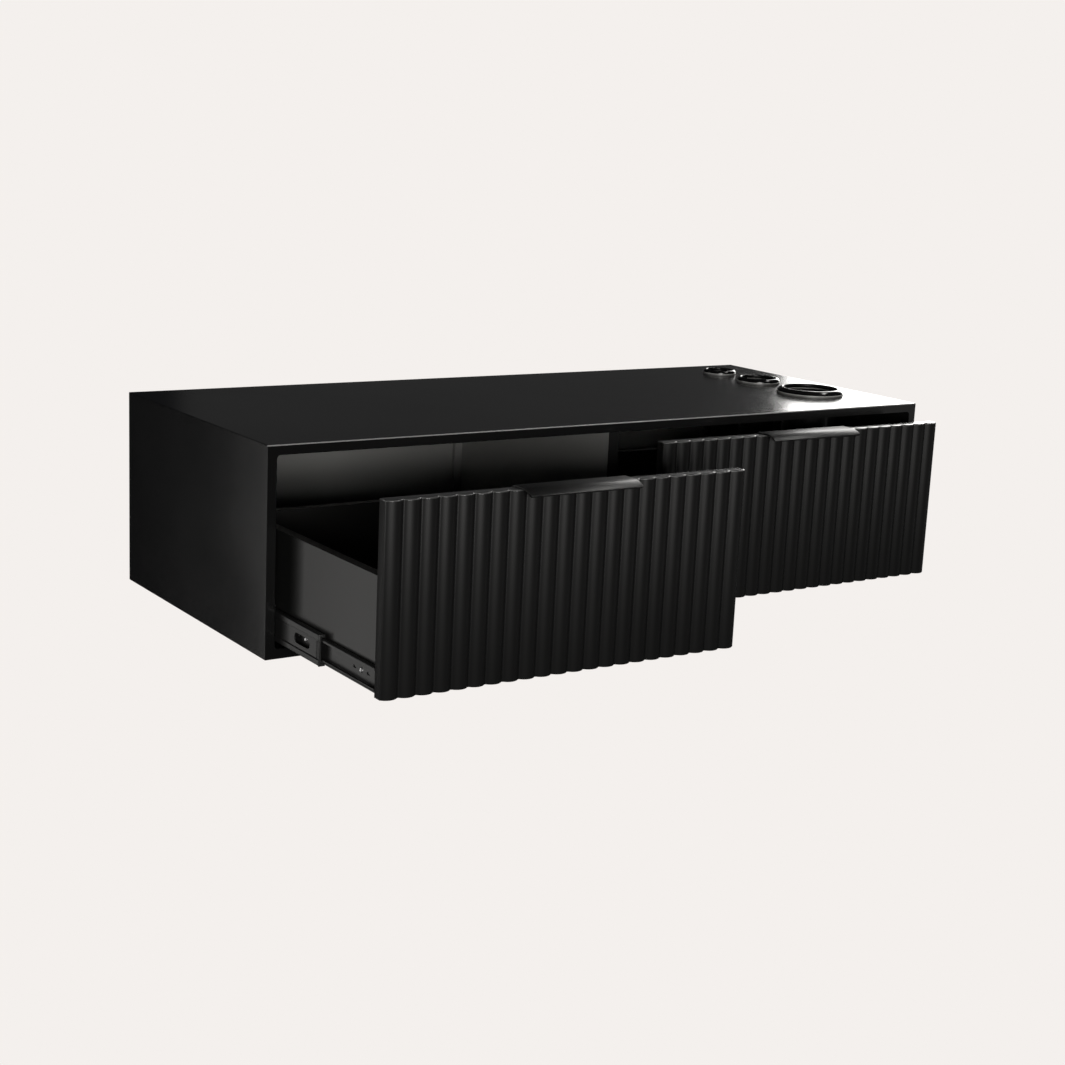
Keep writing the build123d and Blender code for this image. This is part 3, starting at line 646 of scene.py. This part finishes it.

# ---------------------------------------------------------------- fluted fronts
# Each front is one board, machined with twenty-two round ribs that run into narrow round valleys,
# sprayed satin black. The sander has rounded the ribs' top ends, and a painted highlight lightens
# the top band of each front.

top_of_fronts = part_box("left_fluted_front")[1].z
# The ribs' top band is painted a lighter shade: a painted highlight.
front_lacquer = sprayed(
    "front_lacquer",
    dark=0.006,
    light=0.010,
    roughness=0.50,
    sheen=0.2,
    highlight_shade=0.12,
    highlight_above=top_of_fronts - highlight_band,
    highlight_before=cad_box[1].y,
)
flute_count = 22
flute_depth = 4.6 * mm
valley_radius = 2.0 * mm
top_radius = 1.2 * mm
arris = 0.35 * mm
down = (0, 0, -1)
for bay in ("left", "right"):
    low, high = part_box(f"{bay}_fluted_front")
    pitch = (high.x - low.x) / flute_count
    slope = 2 * atan(flute_depth / (pitch / 2))
    crest_radius = pitch / 2 / sin(slope) - valley_radius
    valley = low.y + flute_depth
    mesh = bmesh.new()
    wire(
        mesh,
        (low.x, valley, low.z),
        ((low.x, valley - valley_radius, low.z), down, slope, 4),
        ((low.x + pitch / 2, low.y + crest_radius, low.z), up, 2 * slope, 16),
        ((low.x + pitch, valley - valley_radius, low.z), down, slope, 4),
    )
    rib = mesh.verts[:] + mesh.edges[:]
    for i in range(1, flute_count):
        copy = bmesh.ops.duplicate(mesh, geom=rib)["geom"]
        bmesh.ops.translate(mesh, vec=(i * pitch, 0, 0), verts=points(copy))
    join_ends(mesh)
    left_end = min(mesh.verts, key=lambda vert: vert.co.x)
    right_end = max(mesh.verts, key=lambda vert: vert.co.x)
    back_left = mesh.verts.new((low.x, high.y, low.z))
    back_right = mesh.verts.new((high.x, high.y, low.z))
    for pair in ((left_end, back_left), (back_left, back_right), (back_right, right_end)):
        mesh.edges.new(pair)
    foot = bmesh.ops.contextual_create(mesh, geom=mesh.edges[:])["faces"]
    grown = bmesh.ops.extrude_face_region(mesh, geom=foot)["geom"]
    bmesh.ops.translate(mesh, vec=(0, 0, high.z - low.z), verts=points(grown))
    bmesh.ops.recalc_face_normals(mesh, faces=mesh.faces)
    ribbed_rim = [
        edge
        for edge in mesh.edges
        if all(vert.co.z > high.z - hair and vert.co.y < high.y - mm for vert in edge.verts)
    ]
    ease(mesh, ribbed_rim, top_radius, 4)
    ease(mesh, sharp_edges(mesh, 60), arris, 2)
    name = f"{bay}_ribbed_front"
    node = f"{bay}_fluted_front"
    finish_piece(name, mesh, front_lacquer, f"{bay}_drawer", "front_satin_black", node)

# ---------------------------------------------------------------- edge pulls
# A strip of steel bent over the top edge of each front, screwed on behind it, with a lip that
# curves down in front for the fingers. It is powder coated satin black.

pull_coat, shader, place = blank_finish("pull_coat", Specular_IOR_Level=0.5)
cloud = grain(place, 12.0, 3.0)
peel = grain(place, 900.0)
shade = cloud * 0.5 + peel * 0.5
tint(shade, (0.008,) * 3, (0.013, 0.013, 0.0127)).feed(shader, "Base Color")
(0.36 + 0.1 * (peel - 0.5)).feed(shader, "Roughness")
relief(peel, 0.3, 0.12 * mm).feed(shader, "Normal")

pull_reach = 18.0 * mm
pull_drop = 6.3 * mm
pull_gauge = 2.0 * mm
pull_bend = 2.4 * mm
pull_corner = 1.5 * mm
pull_arris = 0.3 * mm
for bay in ("left", "right"):
    low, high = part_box(f"{bay}_edge_pull")
    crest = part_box(f"{bay}_fluted_front")[0].y
    turn = 2 * atan(pull_drop / pull_reach)
    bend = pull_reach / sin(turn)
    mesh = bmesh.new()
    wire(
        mesh,
        (low.x, high.y, low.z),
        (low.x, high.y, high.z),
        (low.x, crest, high.z),
        ((low.x, crest, high.z - bend), (1, 0, 0), turn, 10),
    )
    grown = bmesh.ops.extrude_edge_only(mesh, edges=mesh.edges[:])["geom"]
    bmesh.ops.translate(mesh, vec=(high.x - low.x, 0, 0), verts=points(grown))
    bmesh.ops.recalc_face_normals(mesh, faces=mesh.faces)
    top_face = max(mesh.faces, key=lambda face: abs(face.normal.z) * face.calc_area())
    if top_face.normal.z < 0:
        bmesh.ops.reverse_faces(mesh, faces=mesh.faces)
    ease(mesh, sharp_edges(mesh, 80), pull_bend, 5)
    lip = min(vert.co.y for vert in mesh.verts)
    corners = [vert for vert in mesh.verts if vert.co.y < lip + hair or vert.co.z < low.z + hair]
    bmesh.ops.bevel(
        mesh,
        geom=corners,
        offset=pull_corner,
        offset_type="OFFSET",
        segments=4,
        profile=0.5,
        affect="VERTICES",
        material=-1,
    )
    bmesh.ops.solidify(mesh, geom=mesh.faces[:], thickness=pull_gauge)
    bmesh.ops.recalc_face_normals(mesh, faces=mesh.faces)
    ease(mesh, sharp_edges(mesh, 60), pull_arris, 2)
    name = f"{bay}_bent_pull"
    node = f"{bay}_edge_pull"
    finish_piece(name, mesh, pull_coat, f"{bay}_drawer", "pull_black_metal", node)

# ---------------------------------------------------------------- tool wells
# Three cups hang through holes in the top, clamped from below by notched nuts. The cups are steel,
# enamelled black. A polished ring snaps over each cup's flange; its satin foot is painted a lighter
# grey as a painted reflection, with a painted highlight along its top edge.

enamel, shader, place = blank_finish("cup_enamel", Specular_IOR_Level=0.6)
ripple = grain(place, 60.0, 2.0)
speck = grain(place, 1200.0, 1.0)
tint(ripple * 0.5 + speck * 0.5, (0.008,) * 3, (0.016,) * 3).feed(shader, "Base Color")
(0.20 + 0.1 * (speck - 0.5)).feed(shader, "Roughness")
relief(ripple * 0.7 + speck * 0.3, 0.15, 0.1 * mm).feed(shader, "Normal")

ring_gloss, shader, place = blank_finish("ring_gloss", Specular_IOR_Level=0.6)
_, _, z = split(place)
foot_height = 2.6 * mm
level = z - top_of_cabinet
# The foot is painted a lighter grey: a painted reflection.
foot = 1 - level.above(foot_height + 0.2 * mm, 0.1 * mm)
# A bright line painted along the foot's top edge: a painted highlight.
edge = foot * level.above(foot_height - 0.55 * mm, 0.15 * mm)
haze = grain(place, 35.0, 3.0)
scratch = grain(place, 900.0, 1.0, (1, 0.08, 1))
tint(0.25 * foot + 0.75 * edge, (0.006,) * 3, (0.60, 0.60, 0.58)).feed(shader, "Base Color")
(0.07 + 0.06 * haze + 0.05 * scratch + 0.3 * foot).feed(shader, "Roughness")
relief(scratch, 0.05, 0.02 * mm).feed(shader, "Normal")

cup_wall = 1.2 * mm
cup_bend = 4.0 * mm
cup_drain = 3.0 * mm
flange_inset = 3.0 * mm
flange_clearance = 0.1 * mm
foot_round = 0.5 * mm
groove = 1.1 * mm
lip_start = 3.2 * mm
lip_inset = 0.35 * mm
inner_roll = 1.5 * mm
round_south = (0, -1, 0)


def spun(centre, count, *outline):
    """A closed shell: an outline of radius and height, spun about an upright line."""
    shell = bmesh.new()
    wire(shell, *outline)
    join_ends(shell)
    profile = shell.verts[:] + shell.edges[:]
    bmesh.ops.spin(
        shell, geom=profile, cent=(0, 0, 0), axis=up, angle=2 * pi, steps=count, use_merge=True
    )
    bmesh.ops.translate(shell, vec=centre, verts=shell.verts)
    bmesh.ops.recalc_face_normals(shell, faces=shell.faces)
    return shell


# Each well: the ring's inner and outer radius.

well_radii = {
    "large": (38.0 * mm, 47.0 * mm),
    "medium": (25.0 * mm, 31.5 * mm),
    "small": (18.75 * mm, 24.3 * mm),
}
for well, (inner, outer) in well_radii.items():
    node = f"{well}_well_ring"
    low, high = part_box(node)
    centre = ((low.x + high.x) / 2, (low.y + high.y) / 2, low.z)
    height = high.z - low.z
    run = outer - lip_inset - inner - inner_roll
    rise = height - lip_start
    dome = (run**2 + rise**2) / (2 * rise)
    foot_start = foot_height - foot_round
    roll_level = height - inner_roll
    flange = outer - flange_inset + flange_clearance
    ring = spun(
        centre,
        112,
        (inner, 0, roll_level),
        (inner, 0, cup_wall),
        (flange, 0, cup_wall),
        (flange, 0, 0),
        (outer, 0, 0),
        (outer, 0, foot_start),
        ((outer - foot_round, 0, foot_start), round_south, pi / 2, 5),
        (outer - groove, 0, foot_height),
        (outer - groove, 0, lip_start),
        (outer - lip_inset, 0, lip_start),
        ((inner + inner_roll, 0, height - dome), round_south, atan2(run, dome - rise), 16),
        ((inner + inner_roll, 0, roll_level), round_south, pi / 2, 8),
    )
    finish_piece(f"{well}_trim_ring", ring, ring_gloss, "root", "ring_gloss_black", node)

    node = f"{well}_well_cup"
    low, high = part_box(node)
    depth = top_of_cabinet - low.z
    outside = inner + cup_wall
    corner = outside - cup_bend
    bend_level = cup_bend - depth
    flange = high.x - centre[0]
    cup = spun(
        centre,
        80,
        (cup_drain, 0, cup_wall - depth),
        (cup_drain, 0, -depth),
        (corner, 0, -depth),
        ((corner, 0, bend_level), round_south, pi / 2, 6),
        (outside, 0, 0),
        (flange, 0, 0),
        (flange, 0, cup_wall),
        (inner, 0, cup_wall),
        (inner, 0, bend_level),
        ((corner, 0, bend_level), round_south, -pi / 2, 6),
        (cup_drain, 0, cup_wall - depth),
    )
    finish_piece(f"{well}_spun_cup", cup, enamel, "root", "cup_enamel", node)
    wear(moulded_black, f"{well}_well_collar")
